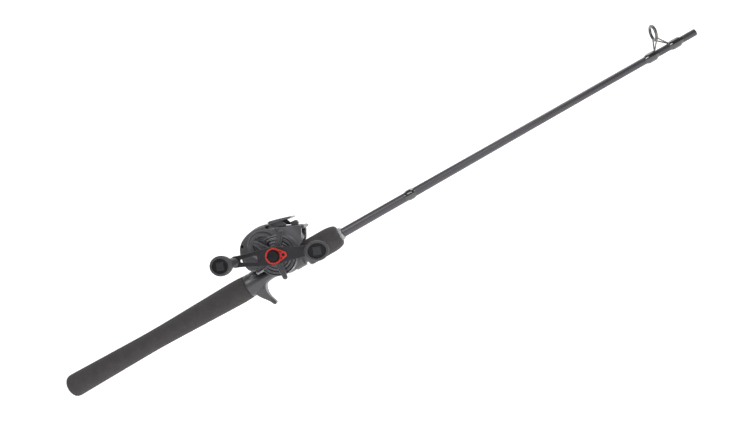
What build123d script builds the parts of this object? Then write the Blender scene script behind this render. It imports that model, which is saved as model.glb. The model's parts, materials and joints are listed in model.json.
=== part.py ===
"""Butt section of a two-piece casting rod with a low-profile baitcasting reel.

Frame: millimetres. X runs along the rod from the butt end to the tip end, Z is up (the reel sits on
top of the rod) and the crank handle is on the -Y side. The origin is the centre of the butt's end face.
"""
from build123d import *
import math
import os

# ---------------------------------------------------------------- rod
ROD_LENGTH = 813.0
BLANK_HANDLE_R = 5.6          # blank radius inside the handle
BLANK_WALL = 1.1
SOCKET_R = 2.8                # ferrule socket in the tip end
SOCKET_LENGTH = 60.0
BLANK_STATIONS = [(6, 5.6), (318, 5.6), (363, 5.4), (450, 5.15), (601, 4.45), (749, 4.1), (813, 3.85)]

REAR_GRIP_END = 242.0
REAR_GRIP_STATIONS = [(5, 13.6), (60, 12.55), (118, 11.75), (180, 13.05), (228, 14.1), (242, 13.6)]
BUTT_FACE_R = 9.0

SEAT_START = REAR_GRIP_END
HOOD_START = 301.0            # sliding hood of the reel seat
HOOD_END = 313.5
BARREL_R = 9.4                # threaded barrel of the reel seat
BARREL_END = 344.0
THREAD_PITCH = 2.0
THREAD_DEPTH = 0.5
NUT_START = 318.0
NUT_FLANGE_END = 320.6
NUT_SLEEVE_R = 11.6
FORE_GRIP_R = 14.4
FORE_GRIP_SHOULDER = 350.0
FORE_GRIP_END = 363.0
BLANK_CLEAR_R = 5.95          # bore that slides along the blank
CHECK_R = 7.5
CHECK_LENGTH = 4.0

KEEPER_WRAP = (449.0, 461.0)
GUIDE_X = 774.0
GUIDE_Z = 21.8
GUIDE_LEAN = 9.0
GUIDE_FRAME_R = 9.4
GUIDE_INSERT_R = 8.5
GUIDE_BORE_R = 6.7
REAR_FOOT = (752.0, 767.0)
FRONT_FOOT = (781.0, 796.0)

# ---------------------------------------------------------------- reel
CRANK_X, CRANK_Z = 295.7, 15.1
CRANK_TILT = 20.4             # handle slopes down towards the tip, degrees
MODULE = 0.6
PRESSURE_ANGLE = math.radians(25)
DRIVE_TEETH, PINION_TEETH = 57, 9
LEVEL_TEETH, IDLER_TEETH, WORM_TEETH = 36, 20, 12
SPOOL_DIRECTION = 122.0       # spool axis as seen from the crank axis, degrees from +X
WORM_DIRECTION = 11.0         # worm axis as seen from the crank axis, degrees from +X

WALL_IN, WALL_OUT = 14.5, 17.0
PLATE_FACE = -28.0
DRUM_X, DRUM_Z = 294.6, 14.0
DRUM_R = 22.5
DRUM_FACE = -30.5
COVER_WALL = 1.4
BODY_CENTRE = (297.0, 29.0)   # point that inner outlines are drawn in towards
POCKET_R = 10.5               # round recess around the cast control cap
POCKET_FLOOR = -26.4
RAIL_X, RAIL_Z = 323.2, 27.4  # fixed bar above the worm shaft
EYE_Z = 36.8                  # height of the line guide's eye
EYE_RING_R, EYE_BORE_R = 2.1, 1.3
DECK_LOW, DECK_HIGH = 9.0, 11.6
STEP_LOW, STEP_HIGH = 13.0, 14.6   # raised front of the deck, clear of the sliding hood
FOOT_START, FOOT_END = 254.0, 311.0
FOOT_LOW, FOOT_HIGH = 6.4, 9.0
FOOT_HALF_WIDTH = 7.0

SPOOL_R = 16.8
SPOOL_HALF_WIDTH = 13.2
SPOOL_CORE_R = 9.0
SPOOL_SHAFT_R = 1.25
DRIVE_SHAFT_R = 2.6
RUNNING = 0.05                # radial clearance of a running fit

HUB_OUT = -50.0               # outer face of the crank plate at its hub
PLATE_T = 3.0
ARM_SWEEP = 2.0               # how far the arms' ends lie inward of the hub
SPINDLE_RADIUS = 43.0
NUT_R = 7.1
RETAINER_TIP = 10.8           # distance of the retainer's screw from the crank axis
KNOB_SPLAY = 15.0             # outward lean of each knob, degrees
KNOB_GAP = 2.5
KNOB_LENGTH = 29.0
KNOB_NECK_R = 6.0
KNOB_R = 11.6
CAP_R = 8.6
KNOB_ACROSS, KNOB_ALONG = 0.93, 1.13   # the round knob profile pressed into an oval
STAR_IN, STAR_OUT = -38.0, -41.6
STAR_R = 28.6
STAR_FIRST_ARM = 48.0

GEAR_IN, GEAR_OUT = -21.2, -25.0
LEVEL_IN, LEVEL_OUT = -17.3, -19.0

OUT = "parts"


def polar(x, z, radius, degrees):
    """Point at a radius and angle about (x, z) in the XZ plane."""
    angle = math.radians(degrees)
    return x + radius * math.cos(angle), z + radius * math.sin(angle)


def pitch_radius(teeth):
    return MODULE * teeth / 2


SPOOL_X, SPOOL_Z = polar(CRANK_X, CRANK_Z, pitch_radius(DRIVE_TEETH + PINION_TEETH), SPOOL_DIRECTION)
IDLER_X, IDLER_Z = polar(CRANK_X, CRANK_Z, pitch_radius(LEVEL_TEETH + IDLER_TEETH), WORM_DIRECTION)
WORM_X, WORM_Z = polar(IDLER_X, IDLER_Z, pitch_radius(IDLER_TEETH + WORM_TEETH), WORM_DIRECTION)


# ---------------------------------------------------------------- helpers
def rod_x(radius, x0, x1, y=0.0, z=0.0):
    """Cylinder along X."""
    return Pos((x0 + x1) / 2, y, z) * Rot(0, 90, 0) * Cylinder(radius, x1 - x0)


def rod_y(radius, y0, y1, x, z):
    """Cylinder along Y."""
    low, high = min(y0, y1), max(y0, y1)
    return Pos(x, (low + high) / 2, z) * Rot(90, 0, 0) * Cylinder(radius, high - low)


def rod_z(radius, z0, z1, x, y):
    """Cylinder along Z."""
    return Pos(x, y, (z0 + z1) / 2) * Cylinder(radius, z1 - z0)


def block(x, y, z):
    """Box from three (low, high) pairs."""
    size = Box(x[1] - x[0], y[1] - y[0], z[1] - z[0])
    return Pos((x[0] + x[1]) / 2, (y[0] + y[1]) / 2, (z[0] + z[1]) / 2) * size


def slab(face, y0, y1):
    """Face drawn as (x, z), thickened between two Y values."""
    low, high = min(y0, y1), max(y0, y1)
    plane = Plane(origin=(0, high, 0), x_dir=(1, 0, 0), z_dir=(0, -1, 0))
    return extrude(plane * face, amount=high - low, dir=(0, -1, 0))


def polygon_face(points):
    return Face(Wire(Polyline(*points, close=True).edges()))


def turned_x(edges):
    """Solid of revolution about the rod axis from edges drawn as (x, radius)."""
    face = Face(Wire(edges))
    return revolve(Plane.XZ * face, axis=Axis.X)


def turned_x_points(points):
    return turned_x(Polyline(*points, close=True).edges())


def bar(start, end, radius):
    """Round bar between two points with round ends."""
    a, b = Vector(*start), Vector(*end)
    run = b - a
    plane = Plane(origin=(a + b) * 0.5, z_dir=run.normalized())
    stick = plane * Cylinder(radius, run.length)
    return stick + Pos(*start) * Sphere(radius) + Pos(*end) * Sphere(radius)


def washer(outer, inner, y0, y1, x, z):
    return rod_y(outer, y0, y1, x, z) - rod_y(inner, min(y0, y1) - 1, max(y0, y1) + 1, x, z)


def gear(teeth, y0, y1, x, z, tooth_at, bore, backlash=0.10):
    """Spur gear along Y with involute flanks; one tooth centre points at the angle tooth_at."""
    pitch_r = pitch_radius(teeth)
    base_r = pitch_r * math.cos(PRESSURE_ANGLE)
    root_r = pitch_r - 1.2 * MODULE
    tip_r = pitch_r + 0.9 * MODULE
    half_at_pitch = math.pi / (2 * teeth) - backlash / (2 * pitch_r)

    def half_angle(radius):
        roll = math.acos(min(1.0, base_r / max(radius, base_r)))
        involute = math.tan(roll) - roll
        return half_at_pitch + math.tan(PRESSURE_ANGLE) - PRESSURE_ANGLE - involute

    radii = [root_r, pitch_r - 0.3 * MODULE, pitch_r + 0.3 * MODULE, tip_r]
    points = []
    for tooth in range(teeth):
        centre = math.radians(tooth_at) + 2 * math.pi * tooth / teeth
        flank = [(radius, half_angle(radius)) for radius in radii]
        sides = [(r, centre - a) for r, a in flank] + [(r, centre + a) for r, a in reversed(flank)]
        points += [(x + r * math.cos(a), z + r * math.sin(a)) for r, a in sides]
    return slab(polygon_face(points), y0, y1) - rod_y(bore, min(y0, y1) - 1, max(y0, y1) + 1, x, z)


def screws(places, head_r, head_y, tip_y, shank_r, socket_r=1.0):
    """Group of identical socket screws along Y; head_y is the outer face of the heads."""
    side = -1 if head_y < tip_y else 1
    under_head = head_y - side * 1.2
    group = []
    for x, z in places:
        screw = rod_y(head_r, head_y, under_head, x, z) + rod_y(shank_r, under_head, tip_y, x, z)
        screw -= rod_y(socket_r, head_y, head_y - side * 0.7, x, z)
        group.append(screw)
    return Compound(group)


def save(node, shape):
    export_step(shape, f"{OUT}/{node}.step")


# ---------------------------------------------------------------- rod pieces
def blank():
    outer = [(x, r) for x, r in BLANK_STATIONS]
    inner = [(x, r - BLANK_WALL) for x, r in reversed(BLANK_STATIONS)]
    tube = turned_x_points(outer + inner)
    sleeve_start = ROD_LENGTH - SOCKET_LENGTH
    tube += rod_x(SOCKET_R + 0.3, sleeve_start, ROD_LENGTH)
    return tube - rod_x(SOCKET_R, sleeve_start - 1, ROD_LENGTH + 1)


def rear_grip():
    stations = REAR_GRIP_STATIONS
    dome = ThreePointArc((0, BUTT_FACE_R), (1.5, 12.3), stations[0])
    body = Spline(*stations)
    back = Polyline(stations[-1], (stations[-1][0], BLANK_HANDLE_R), (6, BLANK_HANDLE_R), (6, 0), (0, 0),
                    (0, BUTT_FACE_R))
    return turned_x(dome.edges() + body.edges() + back.edges())


def seat_shell():
    """Oval shell, waisted above the trigger; each section is (x, half width, half height)."""
    sections = [(SEAT_START, 13.2, 13.2), (252, 12.4, 12.0), (266, 10.2, 6.7), (282, 10.4, 7.5),
                (HOOD_START, 11.2, 9.8)]
    across = [Plane(origin=(x, 0, 0), x_dir=(0, 1, 0), z_dir=(1, 0, 0)) for x, w, h in sections]
    return loft([plane * Ellipse(w, h) for plane, (x, w, h) in zip(across, sections)])


def trigger():
    """Curved finger hook under the seat, cut from a side outline and a front outline."""
    front = Spline((262.0, -30.6), (260.2, -25.8), (258.6, -19.0), (259.4, -11.8), (267.0, -4.0))
    rear = Spline((246.0, -6.0), (247.2, -14.6), (252.2, -22.4), (257.4, -30.8))
    tip = ThreePointArc((257.4, -30.8), (260.2, -32.9), (262.0, -30.6))
    top = Line((267.0, -4.0), (246.0, -6.0))
    face = Face(Wire(front.edges() + rear.edges() + tip.edges() + top.edges()))
    body = slab(face, -7.0, 7.0)
    waist = Plane(origin=(240, 0, 0), x_dir=(0, 1, 0), z_dir=(1, 0, 0))
    outline = Face(Wire(
        Spline((-7.5, -2), (-6.4, -14), (-4.3, -24), (-4.2, -30)).edges()
        + ThreePointArc((-4.2, -30), (0, -34.2), (4.2, -30)).edges()
        + Spline((4.2, -30), (4.3, -24), (6.4, -14), (7.5, -2)).edges()
        + Line((7.5, -2), (-7.5, -2)).edges()))
    return body & extrude(waist * outline, amount=40, dir=(1, 0, 0))


def reel_seat():
    rear_hood = Pos(253, 0, 7.4) * scale(Sphere(1), (9.5, 10.2, 6.4))
    rear_hood &= block((SEAT_START + 1, 262), (-12, 12), (3, 16))
    seat = seat_shell() + trigger() + rear_hood
    barrel = rod_x(BARREL_R, HOOD_START - 0.5, BARREL_END)
    for turn in range(10):
        x = NUT_START - 4 + turn * THREAD_PITCH
        barrel -= rod_x(BARREL_R + 1, x, x + 0.8) - rod_x(BARREL_R - THREAD_DEPTH, x - 1, x + 2)
    seat += barrel
    seat -= block((262, 330), (-20, 20), (FOOT_LOW, 30))
    foot_slot = block((FOOT_START - 0.3, 262.5), (-FOOT_HALF_WIDTH - 0.3, FOOT_HALF_WIDTH + 0.3),
                      (FOOT_LOW, FOOT_HIGH + 0.3))
    seat -= foot_slot
    barrel_top = rod_x(BARREL_R, NUT_START - 2.5, BARREL_END)
    seat += barrel_top
    return seat - rod_x(BLANK_HANDLE_R, 200, 400)


def sliding_hood():
    """Ring that slides on the barrel and closes over the front end of the reel foot."""
    ring = rod_x(11.6, HOOD_START + 0.2, HOOD_END)
    arch = rod_x(9.2, HOOD_START + 0.2, HOOD_END, 0, 7.2)
    arch = arch & block((HOOD_START, HOOD_END), (-9.2, 9.2), (0, 12.6))
    hood = ring + arch
    bore = rod_x(BARREL_R + RUNNING, HOOD_START - 1, HOOD_END + 1)
    pocket = block((HOOD_START - 1, FOOT_END + 0.3), (-FOOT_HALF_WIDTH - 0.3, FOOT_HALF_WIDTH + 0.3),
                   (0, FOOT_HIGH + 0.3))
    return hood - bore - pocket


def locking_nut():
    flange = rod_x(FORE_GRIP_R, NUT_START, NUT_FLANGE_END)
    flange = chamfer(flange.edges().filter_by(GeomType.CIRCLE), 0.6)
    sleeve = rod_x(NUT_SLEEVE_R, NUT_START, BARREL_END + 2)
    return flange + sleeve - rod_x(BARREL_R + RUNNING, NUT_START - 1, BARREL_END + 3)


def fore_grip():
    outer = Polyline((NUT_FLANGE_END, NUT_SLEEVE_R), (NUT_FLANGE_END, FORE_GRIP_R),
                     (FORE_GRIP_SHOULDER, FORE_GRIP_R))
    nose = Spline((FORE_GRIP_SHOULDER, FORE_GRIP_R), (357, 13.4), (361.5, 11.6), (FORE_GRIP_END, 9.6),
                  tangents=[(1, 0), (0.1, -1)])
    inner = Polyline((FORE_GRIP_END, 9.6), (FORE_GRIP_END, BLANK_CLEAR_R), (BARREL_END + 2, BLANK_CLEAR_R),
                     (BARREL_END + 2, NUT_SLEEVE_R), (NUT_FLANGE_END, NUT_SLEEVE_R))
    return turned_x(outer.edges() + nose.edges() + inner.edges())


def winding_check():
    start, end = FORE_GRIP_END, FORE_GRIP_END + CHECK_LENGTH
    ring = turned_x_points([(start, BLANK_CLEAR_R), (start, CHECK_R), (start + 2.4, CHECK_R), (end, 6.6),
                            (end, BLANK_CLEAR_R)])
    bead = rod_x(CHECK_R + 1, start + 0.8, start + 1.4) - rod_x(CHECK_R - 0.35, start, end)
    return ring - bead


def blank_radius(x):
    """Radius of the blank at a station, by straight interpolation."""
    for (x0, r0), (x1, r1) in zip(BLANK_STATIONS, BLANK_STATIONS[1:]):
        if x0 <= x <= x1:
            return r0 + (r1 - r0) * (x - x0) / (x1 - x0)
    return BLANK_STATIONS[-1][1]


def rod_core():
    """The blank's outer shape as a solid, used to seat what sits on it."""
    outer = list(BLANK_STATIONS)
    return turned_x_points(outer + [(outer[-1][0], 0), (outer[0][0], 0)])


def wrap(x0, x1, build):
    """Epoxied thread wrap: a thin sleeve on the blank with tapered ends."""
    ends = min(3.0, (x1 - x0) / 4)
    low = [(x0, blank_radius(x0)), (x1, blank_radius(x1))]
    high = [(x1, blank_radius(x1) + 0.15), (x1 - ends, blank_radius(x1) + build),
            (x0 + ends, blank_radius(x0) + build), (x0, blank_radius(x0) + 0.15)]
    return turned_x_points(low + high) - rod_core()


def hook_keeper():
    """Small wire loop held by its own wrap."""
    x0, x1 = KEEPER_WRAP
    base = blank_radius(x0)
    foot = bar((x0 + 1.5, 0, -base - 0.1), (x1 - 1.5, 0, -base - 0.1), 0.45)
    return foot - rod_core()


def guide_foot(x0, x1):
    base = blank_radius((x0 + x1) / 2)
    return block((x0 + 1, x1 - 1), (-1.4, 1.4), (base - 0.6, base + 0.75))


def guide_frame():
    lean = Pos(GUIDE_X, 0, GUIDE_Z) * Rot(0, GUIDE_LEAN, 0)
    hoop = lean * Rot(0, 90, 0) * (Cylinder(GUIDE_FRAME_R, 2.2) - Cylinder(GUIDE_INSERT_R, 4))
    ring_and_legs = hoop + guide_foot(*REAR_FOOT) + guide_foot(*FRONT_FOOT)
    foot_z = blank_radius(GUIDE_X) + 0.55
    for side in (-1, 1):
        rear_end = (REAR_FOOT[1] - 1, side * 0.8, foot_z)
        front_end = (FRONT_FOOT[0] + 1, side * 0.8, foot_z)
        ring_and_legs += bar((GUIDE_X - 0.3, side * 7.6, GUIDE_Z - 4.6), rear_end, 0.75)
        ring_and_legs += bar((GUIDE_X - 0.6, side * 5.4, GUIDE_Z - 7.4), front_end, 0.75)
    ring_and_legs -= lean * Rot(0, 90, 0) * Cylinder(GUIDE_INSERT_R, 4)
    return ring_and_legs - rod_core()


def guide_insert():
    lean = Pos(GUIDE_X, 0, GUIDE_Z) * Rot(0, GUIDE_LEAN, 0) * Rot(0, 90, 0)
    ring = Cylinder(GUIDE_INSERT_R, 3.0) - Cylinder(GUIDE_BORE_R, 5)
    return lean * fillet(ring.edges().filter_by(GeomType.CIRCLE), 0.7)


# ---------------------------------------------------------------- reel: fixed pieces
def drawn_in(points, inset):
    """Points moved towards the middle of the reel body."""
    moved = []
    for x, z in points:
        dx, dz = BODY_CENTRE[0] - x, BODY_CENTRE[1] - z
        share = inset / math.hypot(dx, dz)
        moved.append((x + dx * share, z + dz * share))
    return moved


BACK_OUTLINE = [(256.0, 27.0), (258.8, 38.5), (264.0, 45.4), (273.0, 50.2), (284.0, 52.4), (293.0, 52.3),
                (300.0, 50.6)]
NEAR_FRONT = [(300.0, 50.6), (302.5, 44.2), (331.5, 31.4), (333.2, 30.6), (330.7, 26.4), (327.7, 20.0),
              (325.4, 14.0)]
PALM_FRONT = [(300.0, 50.6), (302.5, 44.2), (329.5, 32.0), (331.0, 29.5), (329.5, 25.0), (325.4, 17.4)]
BELLY = [(316.0, 10.0), (290.0, 6.0), (263.0, 11.0)]


def side_outline(inset=0.0):
    """Outline of the reel body seen from the handle side, drawn as (x, z)."""
    back = Spline(*drawn_in([BELLY[-1], (257.2, 16.0)] + BACK_OUTLINE, inset))
    front = Polyline(*drawn_in(NEAR_FRONT + BELLY, inset))
    face = Face(Wire(back.edges() + front.edges()))
    return fillet(face.vertices().filter_by(lambda v: 300.8 < v.X < 331 and v.Y > 12), 1.2)


def palm_outline(inset=0.0):
    """Outline of the palm cover: the same back and top with a full round belly."""
    back = Spline(*drawn_in([(268.0, 6.5), (258.5, 14.0)] + BACK_OUTLINE, inset))
    front = Polyline(*drawn_in(PALM_FRONT, inset))
    belly = ThreePointArc(*drawn_in([PALM_FRONT[-1], (300.0, 2.0), (268.0, 6.5)], inset))
    face = Face(Wire(back.edges() + front.edges() + belly.edges()))
    return fillet(face.vertices().filter_by(lambda v: 300.8 < v.X < 332 and v.Y > 20), 1.2)


def drum_face(radius):
    return Pos(DRUM_X, DRUM_Z) * Circle(radius)


def reel_frame():
    """Two side walls tied together by the deck, the rear bar and the front lip the line runs over."""
    walls = slab(side_outline(0.8), -WALL_OUT, -WALL_IN) + slab(palm_outline(0.8), WALL_IN, WALL_OUT)
    walls -= rod_y(SPOOL_R + 0.6, WALL_IN - 1, WALL_OUT + 1, SPOOL_X, SPOOL_Z)
    walls -= rod_y(5.0, -WALL_OUT - 1, -WALL_IN + 1, SPOOL_X, SPOOL_Z)
    walls -= rod_y(4.5, -WALL_OUT - 1, -WALL_IN + 1, CRANK_X, CRANK_Z)
    for side in (-1, 1):
        walls -= rod_y(3.0, side * WALL_IN - 4, side * WALL_IN + 4, WORM_X, WORM_Z)
    deck = block((267, 299), (-WALL_IN, WALL_IN), (DECK_LOW, DECK_HIGH))
    deck += block((297, 299), (-WALL_IN, WALL_IN), (DECK_LOW, STEP_HIGH))
    deck += block((297, 317.5), (-WALL_IN, WALL_IN), (STEP_LOW, STEP_HIGH))
    rear_bar = slab(polygon_face([(258.4, 15), (268, 11), (268, 13.5), (262.5, 18), (259, 23), (257.6, 23)]),
                    -WALL_IN, WALL_IN)
    lip = polygon_face([(327.6, 32.2), (333.4, 30.8), (335.2, 28.6), (333.6, 26.8), (328.4, 27.2)])
    lip = fillet(lip.vertices(), 0.7)
    return walls + deck + rear_bar + slab(lip, -WALL_IN - 1, WALL_IN + 1)


def reel_foot():
    plate = block((FOOT_START, FOOT_END), (-FOOT_HALF_WIDTH, FOOT_HALF_WIDTH), (FOOT_LOW, FOOT_HIGH))
    plate = fillet(plate.edges().filter_by(Axis.Z), 5.0)
    rivets = rivet_places()
    for x, y in rivets:
        plate -= rod_z(1.5, FOOT_LOW - 1, FOOT_HIGH + 1, x, y)
    return plate


def rivet_places():
    return [(276.0, 0.0), (286.0, -3.5), (286.0, 3.5), (297.0, 0.0)]


def foot_rivets():
    return Compound([rod_z(1.5, FOOT_LOW, FOOT_HIGH, x, y) for x, y in rivet_places()])


def handle_side_plate():
    """Gear cover: a shallow shell with a round drum around the crank axis."""
    shell = slab(side_outline(), PLATE_FACE + 4, -WALL_OUT)
    shell += slab(side_outline(1.6) & (Pos(283, 32) * Rectangle(46, 50)), PLATE_FACE, PLATE_FACE + 4)
    shell += slab(drum_face(DRUM_R), DRUM_FACE, -WALL_OUT)
    shell -= slab(side_outline(COVER_WALL), PLATE_FACE + 5.6, -WALL_OUT + 1)
    shell -= slab(drum_face(DRUM_R - 2.0), DRUM_FACE + 3.0, -WALL_OUT + 1)
    shell -= washer(19.4, 18.4, DRUM_FACE + 0.8, DRUM_FACE - 1, DRUM_X, DRUM_Z)
    shell -= rod_y(POCKET_R, PLATE_FACE - 4, POCKET_FLOOR, SPOOL_X, SPOOL_Z)
    shell += rod_y(POCKET_R, POCKET_FLOOR, POCKET_FLOOR + 1.0, SPOOL_X, SPOOL_Z)
    shell += rod_y(5.4, POCKET_FLOOR, POCKET_FLOOR - 3.0, SPOOL_X, SPOOL_Z)
    shell -= rod_y(4.5, PLATE_FACE - 3, -WALL_OUT, SPOOL_X, SPOOL_Z)
    shell -= rod_y(6.0, DRUM_FACE - 1, -WALL_OUT, CRANK_X, CRANK_Z)
    for x, z in plate_screw_places():
        shell -= rod_y(2.2, -40, PLATE_FACE + 4, x, z)
        shell -= rod_y(1.0, -40, -WALL_OUT + 1, x, z)
    return shell


def plate_screw_places():
    return [(300.0, 47.0), (264.6, 42.0)]


def plate_screws():
    return screws(plate_screw_places(), 1.9, PLATE_FACE + 2.8, -WALL_OUT, 0.95)


def palm_side_plate():
    """Palm cover: a stepped shell that carries the spool's outer bearing and the brake dial."""
    shell = slab(palm_outline(), WALL_OUT, 22.0)
    shell += slab(palm_outline(2.0), 22.0, 24.0)
    shell += slab(palm_outline(4.5), 24.0, 25.4)
    shell += rod_y(18.0, 25.0, 27.5, SPOOL_X, SPOOL_Z)
    shell -= slab(palm_outline(COVER_WALL), WALL_OUT - 1, 20.0)
    shell -= rod_y(16.4, WALL_OUT - 1, 25.6, SPOOL_X, SPOOL_Z)
    shell += washer(5.5, 4.0, 20.0, 25.8, SPOOL_X, SPOOL_Z)
    shell -= rod_y(8.0 + 0.3, 26.6, 30, SPOOL_X, SPOOL_Z)
    return shell - rod_y(1.6, 20, 30, SPOOL_X, SPOOL_Z)


def top_hood():
    """Curved blade that bridges the two side covers over the line guide."""
    blade = polygon_face([(300.6, 51.4), (304.0, 51.9), (312.0, 50.0), (326.4, 45.6), (327.0, 44.2),
                          (325.2, 43.6), (312.0, 46.6), (303.0, 48.4)])
    cover = slab(blade, -21.5, 21.5)
    ear = polygon_face([(302.9, 45.4), (303.6, 48.6), (309.0, 47.6), (316.0, 45.6), (318.4, 40.0),
                        (317.2, 38.4)])
    for side in (-1, 1):
        cover += slab(ear, side * 15.0, side * 17.0)
    sides = Polyline((327.5, -12.0), (322.0, -20.5), (300.0, -22.0), (300.0, 22.0), (322.0, 20.5),
                     (327.5, 12.0))
    tip = ThreePointArc((327.5, 12.0), (328.6, 0.0), (327.5, -12.0))
    plan = Face(Wire(sides.edges() + tip.edges()))
    cover &= extrude(Plane.XY.offset(30) * plan, amount=30, dir=(0, 0, 1))
    return cover - slab(side_outline(), -25, 25)


def spool_bearings():
    palm_side = washer(4.0, SPOOL_SHAFT_R, 23.0, 25.6, SPOOL_X, SPOOL_Z)
    handle_side = washer(4.5, SPOOL_SHAFT_R, POCKET_FLOOR - 2.6, POCKET_FLOOR, SPOOL_X, SPOOL_Z)
    return Compound([palm_side, handle_side])


def brake_magnet_ring():
    return washer(14.2, 11.2, 22.6, 25.6, SPOOL_X, SPOOL_Z)


def main_bearing():
    return washer(4.5, DRIVE_SHAFT_R + RUNNING, -WALL_OUT, -WALL_IN, CRANK_X, CRANK_Z)


def one_way_bearing():
    return washer(6.0, 4.0 + RUNNING, DRUM_FACE, DRUM_FACE + 4.5, CRANK_X, CRANK_Z)


def worm_bushings():
    pair = [washer(3.0, 1.5 + RUNNING, side * WALL_IN, side * WALL_OUT, WORM_X, WORM_Z) for side in (-1, 1)]
    return Compound(pair)


def guide_rail():
    """Fixed upper bar that keeps the line guide upright."""
    return rod_y(1.0, -WALL_IN, WALL_IN, RAIL_X, RAIL_Z)


def idler_post():
    return rod_y(1.2, -WALL_OUT, -20.4, IDLER_X, IDLER_Z)


# ---------------------------------------------------------------- reel: moving pieces
def spool():
    half = SPOOL_HALF_WIDTH
    profile = Polyline((-half, 0.9), (-half, SPOOL_R), (-half + 1.0, SPOOL_R), (-half + 1.6, SPOOL_R - 1.2),
                       (-half + 3.6, SPOOL_CORE_R), (half - 3.6, SPOOL_CORE_R), (half - 1.6, SPOOL_R - 1.2),
                       (half - 1.0, SPOOL_R), (half, SPOOL_R), (half, 0.9), close=True)
    body = revolve(Face(Wire(profile.edges())), axis=Axis.X)
    body = Pos(SPOOL_X, 0, SPOOL_Z) * Rot(0, 0, 90) * body
    hub = rod_y(3.4, -half - 2, half, SPOOL_X, SPOOL_Z)
    body -= rod_y(8.0, -half - 1, -half + 7.5, SPOOL_X, SPOOL_Z) - hub
    for turn in range(10):
        x, z = polar(SPOOL_X, SPOOL_Z, 12.6, turn * 36)
        body -= rod_y(1.5, -half - 1, half + 1, x, z)
    return body - rod_y(SPOOL_SHAFT_R, -half - 2, half + 2, SPOOL_X, SPOOL_Z)


def spool_shaft():
    return rod_y(SPOOL_SHAFT_R, -28.8, 25.4, SPOOL_X, SPOOL_Z) - spool_drive_pin()


def spool_drive_pin():
    return block((SPOOL_X - 3.0, SPOOL_X + 3.0), (-18.6, -17.6), (SPOOL_Z - 0.5, SPOOL_Z + 0.5))


def brake_rotor():
    return washer(10.6, 9.6, SPOOL_HALF_WIDTH, 24.0, SPOOL_X, SPOOL_Z) \
        + washer(10.6, SPOOL_SHAFT_R, SPOOL_HALF_WIDTH, SPOOL_HALF_WIDTH + 1, SPOOL_X, SPOOL_Z)


def pinion():
    tooth_at = SPOOL_DIRECTION + 180 + 180 / PINION_TEETH
    wheel = gear(PINION_TEETH, -19.0, -23.8, SPOOL_X, SPOOL_Z, tooth_at, SPOOL_SHAFT_R + RUNNING)
    collar = washer(4.2, SPOOL_SHAFT_R + RUNNING, -17.2, -19.0, SPOOL_X, SPOOL_Z)
    collar -= washer(5.0, 3.6, -18.6, -18.0, SPOOL_X, SPOOL_Z)
    slot = block((SPOOL_X - 3.2, SPOOL_X + 3.2), (-18.8, -17.0), (SPOOL_Z - 0.7, SPOOL_Z + 0.7))
    return wheel + collar - slot


def clutch_yoke():
    """Fork that grips the pinion's collar and moves it out of the spool's drive pin."""
    fork = block((SPOOL_X - 9, SPOOL_X + 9), (-18.5, -18.1), (SPOOL_Z - 1.8, SPOOL_Z + 5.4))
    return fork - rod_y(3.7, -20, -16, SPOOL_X, SPOOL_Z) \
        - block((SPOOL_X - 3.7, SPOOL_X + 3.7), (-20, -16), (SPOOL_Z - 5, SPOOL_Z))


def drive_gear():
    wheel = gear(DRIVE_TEETH, GEAR_IN, GEAR_OUT, CRANK_X, CRANK_Z, SPOOL_DIRECTION, DRIVE_SHAFT_R)
    return wheel - rod_y(12.4, GEAR_OUT - 1, GEAR_OUT + 2.2, CRANK_X, CRANK_Z)


def drag_washers():
    discs = [washer(12.2, DRIVE_SHAFT_R, GEAR_OUT + 2.2 - 0.9 * i, GEAR_OUT + 1.5 - 0.9 * i, CRANK_X, CRANK_Z)
             for i in range(2)]
    return Compound(discs)


def pressure_plate():
    return washer(12.0, DRIVE_SHAFT_R, GEAR_OUT + 0.6, GEAR_OUT - 0.2, CRANK_X, CRANK_Z)


def drag_spring_washers():
    cups = [washer(5.4, DRIVE_SHAFT_R, DRUM_FACE - 1.0 - 1.2 * i, DRUM_FACE - 1.7 - 1.2 * i, CRANK_X, CRANK_Z)
            for i in range(2)]
    return Compound(cups)


def one_way_sleeve():
    return washer(4.0, DRIVE_SHAFT_R, GEAR_OUT - 0.2, DRUM_FACE - 0.6, CRANK_X, CRANK_Z)


def drive_shaft():
    return rod_y(DRIVE_SHAFT_R, HUB_OUT - 1.6, -WALL_IN, CRANK_X, CRANK_Z)


def level_gear():
    return gear(LEVEL_TEETH, LEVEL_IN, LEVEL_OUT, CRANK_X, CRANK_Z, WORM_DIRECTION, DRIVE_SHAFT_R)


def idler_gear():
    tooth_at = WORM_DIRECTION + 180 + 180 / IDLER_TEETH
    return gear(IDLER_TEETH, LEVEL_IN, LEVEL_OUT, IDLER_X, IDLER_Z, tooth_at, 1.2 + RUNNING)


def worm_gear():
    return gear(WORM_TEETH, LEVEL_IN, LEVEL_OUT, WORM_X, WORM_Z, WORM_DIRECTION + 180, 1.5)


def worm_shaft():
    ends = rod_y(1.5, -19.4, WALL_OUT - 0.3, WORM_X, WORM_Z)
    return ends + rod_y(2.4, -WALL_IN + 0.3, WALL_IN - 0.3, WORM_X, WORM_Z)


def line_guide():
    """Upright carriage: rides on the worm shaft and the fixed rail, with the eye in its head."""
    half = 2.6
    carriage = slab(polygon_face([(317.9, 16.6), (324.6, 16.2), (325.8, 22.6), (326.2, 33.4), (328.2, 34.4),
                                  (327.8, 39.6), (321.2, 40.4), (320.4, 34.4), (320.0, 24.2)]), -half, half)
    carriage = chamfer(carriage.edges().filter_by(Axis.Y), 0.5)
    carriage -= rod_y(2.4 + 0.08, -10, 10, WORM_X, WORM_Z)
    carriage -= rod_y(1.0 + 0.08, -10, 10, RAIL_X, RAIL_Z)
    return carriage - rod_x(EYE_RING_R, 315, 335, 0, EYE_Z)


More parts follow.
